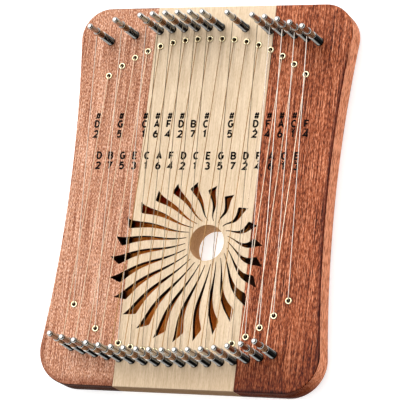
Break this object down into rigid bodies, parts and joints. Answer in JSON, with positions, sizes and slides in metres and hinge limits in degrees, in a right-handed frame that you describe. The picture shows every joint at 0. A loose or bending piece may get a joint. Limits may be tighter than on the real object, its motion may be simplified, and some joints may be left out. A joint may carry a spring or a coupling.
{
  "type": "lyre harp",
  "caption": "Small handheld lyre harp: a waisted, laminated wood board with a rosette of hooked rays round its sound hole, cross-strung wires and tuning pins at both ends.",
  "frame": {"origin": "middle of the footprint, on the back that the harp lies on", "axes": "+Y along the strings towards the top pins, +X across them to the right as seen from the face, +Z out of the face"},
  "size_m": [0.1882, 0.2506, 0.051],
  "materials": {
    "mahogany_left": "satin",
    "maple": "satin",
    "mahogany_right": "satin",
    "panel_wood": "satin",
    "pin_chrome": "polished",
    "wire_steel": "polished",
    "ferrule_brass": "polished",
    "label_ink": "matte"
  },
  "bodies": {
    "harp": {"body_left": "mahogany_left", "body_centre": "maple", "body_right": "mahogany_right", "back_panel": "panel_wood", "wire_low_00_01": "wire_steel", "wire_low_02_03": "wire_steel", "wire_low_04_05": "wire_steel", "wire_low_06_07": "wire_steel", "wire_low_08": "wire_steel", "wire_low_09_10": "wire_steel", "wire_low_11_12": "wire_steel", "wire_low_13_14": "wire_steel", "wire_low_15_16": "wire_steel", "wire_high_00_02": "wire_steel", "wire_high_04_05": "wire_steel", "wire_high_06_07": "wire_steel", "wire_high_08_09": "wire_steel", "wire_high_11_13": "wire_steel", "wire_high_14_15": "wire_steel", "wire_high_16_17": "wire_steel"},
    "pin_bottom_00": {"pin_bottom_00": "pin_chrome"},
    "pin_bottom_01": {"pin_bottom_01": "pin_chrome"},
    "pin_bottom_02": {"pin_bottom_02": "pin_chrome"},
    "pin_bottom_03": {"pin_bottom_03": "pin_chrome"},
    "pin_bottom_04": {"pin_bottom_04": "pin_chrome"},
    "pin_bottom_05": {"pin_bottom_05": "pin_chrome"},
    "pin_bottom_06": {"pin_bottom_06": "pin_chrome"},
    "pin_bottom_07": {"pin_bottom_07": "pin_chrome"},
    "pin_bottom_08": {"pin_bottom_08": "pin_chrome"},
    "pin_bottom_09": {"pin_bottom_09": "pin_chrome"},
    "pin_bottom_10": {"pin_bottom_10": "pin_chrome"},
    "pin_bottom_11": {"pin_bottom_11": "pin_chrome"},
    "pin_bottom_12": {"pin_bottom_12": "pin_chrome"},
    "pin_bottom_13": {"pin_bottom_13": "pin_chrome"},
    "pin_bottom_14": {"pin_bottom_14": "pin_chrome"},
    "pin_bottom_15": {"pin_bottom_15": "pin_chrome"},
    "pin_bottom_16": {"pin_bottom_16": "pin_chrome"},
    "pin_top_00": {"pin_top_00": "pin_chrome"},
    "pin_top_02": {"pin_top_02": "pin_chrome"},
    "pin_top_04": {"pin_top_04": "pin_chrome"},
    "pin_top_05": {"pin_top_05": "pin_chrome"},
    "pin_top_06": {"pin_top_06": "pin_chrome"},
    "pin_top_07": {"pin_top_07": "pin_chrome"},
    "pin_top_08": {"pin_top_08": "pin_chrome"},
    "pin_top_09": {"pin_top_09": "pin_chrome"},
    "pin_top_11": {"pin_top_11": "pin_chrome"},
    "pin_top_13": {"pin_top_13": "pin_chrome"},
    "pin_top_14": {"pin_top_14": "pin_chrome"},
    "pin_top_15": {"pin_top_15": "pin_chrome"},
    "pin_top_16": {"pin_top_16": "pin_chrome"},
    "pin_top_17": {"pin_top_17": "pin_chrome"}
  },
  "joints": [
    {"name": "pin_bottom_00_turn", "type": "hinge", "parent": "harp", "child": "pin_bottom_00", "pos_m": [-0.07225, -0.10091, 0.017], "axis": [0, 0.0349, 0.9994], "continuous": true},
    {"name": "pin_bottom_01_turn", "type": "hinge", "parent": "harp", "child": "pin_bottom_01", "pos_m": [-0.06375, -0.1029, 0.017], "axis": [0, 0.0349, 0.9994], "continuous": true},
    {"name": "pin_bottom_02_turn", "type": "hinge", "parent": "harp", "child": "pin_bottom_02", "pos_m": [-0.05525, -0.10458, 0.017], "axis": [0, 0.0349, 0.9994], "continuous": true},
    {"name": "pin_bottom_03_turn", "type": "hinge", "parent": "harp", "child": "pin_bottom_03", "pos_m": [-0.04675, -0.10595, 0.017], "axis": [0, 0.0349, 0.9994], "continuous": true},
    {"name": "pin_bottom_04_turn", "type": "hinge", "parent": "harp", "child": "pin_bottom_04", "pos_m": [-0.03825, -0.10704, 0.017], "axis": [0, 0.0349, 0.9994], "continuous": true},
    {"name": "pin_bottom_05_turn", "type": "hinge", "parent": "harp", "child": "pin_bottom_05", "pos_m": [-0.02975, -0.10785, 0.017], "axis": [0, 0.0349, 0.9994], "continuous": true},
    {"name": "pin_bottom_06_turn", "type": "hinge", "parent": "harp", "child": "pin_bottom_06", "pos_m": [-0.02125, -0.1084, 0.017], "axis": [0, 0.0349, 0.9994], "continuous": true},
    {"name": "pin_bottom_07_turn", "type": "hinge", "parent": "harp", "child": "pin_bottom_07", "pos_m": [-0.01275, -0.1087, 0.017], "axis": [0, 0.0349, 0.9994], "continuous": true},
    {"name": "pin_bottom_08_turn", "type": "hinge", "parent": "harp", "child": "pin_bottom_08", "pos_m": [-0.00425, -0.1088, 0.017], "axis": [0, 0.0349, 0.9994], "continuous": true},
    {"name": "pin_bottom_09_turn", "type": "hinge", "parent": "harp", "child": "pin_bottom_09", "pos_m": [0.00425, -0.10873, 0.017], "axis": [0, 0.0349, 0.9994], "continuous": true},
    {"name": "pin_bottom_10_turn", "type": "hinge", "parent": "harp", "child": "pin_bottom_10", "pos_m": [0.01275, -0.10847, 0.017], "axis": [0, 0.0349, 0.9994], "continuous": true},
    {"name": "pin_bottom_11_turn", "type": "hinge", "parent": "harp", "child": "pin_bottom_11", "pos_m": [0.02125, -0.10797, 0.017], "axis": [0, 0.0349, 0.9994], "continuous": true},
    {"name": "pin_bottom_12_turn", "type": "hinge", "parent": "harp", "child": "pin_bottom_12", "pos_m": [0.02975, -0.1072, 0.017], "axis": [0, 0.0349, 0.9994], "continuous": true},
    {"name": "pin_bottom_13_turn", "type": "hinge", "parent": "harp", "child": "pin_bottom_13", "pos_m": [0.03825, -0.10617, 0.017], "axis": [0, 0.0349, 0.9994], "continuous": true},
    {"name": "pin_bottom_14_turn", "type": "hinge", "parent": "harp", "child": "pin_bottom_14", "pos_m": [0.04675, -0.10484, 0.017], "axis": [0, 0.0349, 0.9994], "continuous": true},
    {"name": "pin_bottom_15_turn", "type": "hinge", "parent": "harp", "child": "pin_bottom_15", "pos_m": [0.05525, -0.10322, 0.017], "axis": [0, 0.0349, 0.9994], "continuous": true},
    {"name": "pin_bottom_16_turn", "type": "hinge", "parent": "harp", "child": "pin_bottom_16", "pos_m": [0.06375, -0.10128, 0.017], "axis": [0, 0.0349, 0.9994], "continuous": true},
    {"name": "pin_top_00_turn", "type": "hinge", "parent": "harp", "child": "pin_top_00", "pos_m": [-0.07225, 0.10258, 0.017], "axis": [0, -0.0349, 0.9994], "continuous": true},
    {"name": "pin_top_02_turn", "type": "hinge", "parent": "harp", "child": "pin_top_02", "pos_m": [-0.05525, 0.10664, 0.017], "axis": [0, -0.0349, 0.9994], "continuous": true},
    {"name": "pin_top_04_turn", "type": "hinge", "parent": "harp", "child": "pin_top_04", "pos_m": [-0.03825, 0.10927, 0.017], "axis": [0, -0.0349, 0.9994], "continuous": true},
    {"name": "pin_top_05_turn", "type": "hinge", "parent": "harp", "child": "pin_top_05", "pos_m": [-0.02975, 0.1101, 0.017], "axis": [0, -0.0349, 0.9994], "continuous": true},
    {"name": "pin_top_06_turn", "type": "hinge", "parent": "harp", "child": "pin_top_06", "pos_m": [-0.02125, 0.11064, 0.017], "axis": [0, -0.0349, 0.9994], "continuous": true},
    {"name": "pin_top_07_turn", "type": "hinge", "parent": "harp", "child": "pin_top_07", "pos_m": [-0.01275, 0.11092, 0.017], "axis": [0, -0.0349, 0.9994], "continuous": true},
    {"name": "pin_top_08_turn", "type": "hinge", "parent": "harp", "child": "pin_top_08", "pos_m": [-0.00425, 0.111, 0.017], "axis": [0, -0.0349, 0.9994], "continuous": true},
    {"name": "pin_top_09_turn", "type": "hinge", "parent": "harp", "child": "pin_top_09", "pos_m": [0.00425, 0.11094, 0.017], "axis": [0, -0.0349, 0.9994], "continuous": true},
    {"name": "pin_top_11_turn", "type": "hinge", "parent": "harp", "child": "pin_top_11", "pos_m": [0.02125, 0.11015, 0.017], "axis": [0, -0.0349, 0.9994], "continuous": true},
    {"name": "pin_top_13_turn", "type": "hinge", "parent": "harp", "child": "pin_top_13", "pos_m": [0.03825, 0.1082, 0.017], "axis": [0, -0.0349, 0.9994], "continuous": true},
    {"name": "pin_top_14_turn", "type": "hinge", "parent": "harp", "child": "pin_top_14", "pos_m": [0.04675, 0.10674, 0.017], "axis": [0, -0.0349, 0.9994], "continuous": true},
    {"name": "pin_top_15_turn", "type": "hinge", "parent": "harp", "child": "pin_top_15", "pos_m": [0.05525, 0.10492, 0.017], "axis": [0, -0.0349, 0.9994], "continuous": true},
    {"name": "pin_top_16_turn", "type": "hinge", "parent": "harp", "child": "pin_top_16", "pos_m": [0.06375, 0.10272, 0.017], "axis": [0, -0.0349, 0.9994], "continuous": true},
    {"name": "pin_top_17_turn", "type": "hinge", "parent": "harp", "child": "pin_top_17", "pos_m": [0.07225, 0.10013, 0.017], "axis": [0, -0.0349, 0.9994], "continuous": true}
  ]
}
